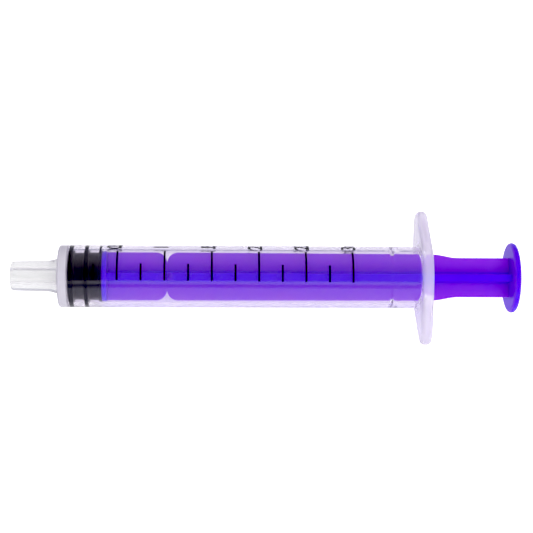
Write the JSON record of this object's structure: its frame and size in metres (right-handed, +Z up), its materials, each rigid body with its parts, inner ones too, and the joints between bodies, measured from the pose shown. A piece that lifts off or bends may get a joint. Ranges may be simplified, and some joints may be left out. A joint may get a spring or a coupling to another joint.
{
  "type": "oral syringe",
  "caption": "Oral syringe with a tapered nozzle, a clear graduated barrel with an oval finger flange, a ribbed plunger rod with a thumb disc, and a rubber seal.",
  "frame": {"origin": "centre of the nozzle's mouth, on the axis of the barrel", "axes": "+X along the axis from the nozzle to the thumb rest, +Z up with one long side of the finger flange resting level below the axis, +Y to the back, away from the side that carries the printed lines"},
  "size_m": [0.0865, 0.0216, 0.0148],
  "materials": {
    "clear_polypropylene": "clear, slightly milky, moulded gloss",
    "violet_polypropylene": "translucent violet, moulded satin gloss",
    "black_rubber": "moulded, silicone-oiled sheen",
    "black_ink": "printed ink film"
  },
  "bodies": {
    "barrel": {"barrel": "clear_polypropylene", "graduation_lines": "black_ink", "graduation_numerals": "black_ink"},
    "seal": {"plunger_seal": "black_rubber"},
    "plunger": {"plunger_rod": "violet_polypropylene"}
  },
  "joints": [
    {"name": "plunger_slide", "type": "slide", "parent": "barrel", "child": "seal", "axis": [1, 0, 0], "range_m": [0, 0.0483]},
    {"name": "plunger_turn", "type": "hinge", "parent": "seal", "child": "plunger", "pos_m": [0.0164, 0, 0], "axis": [1, 0, 0], "continuous": true}
  ]
}
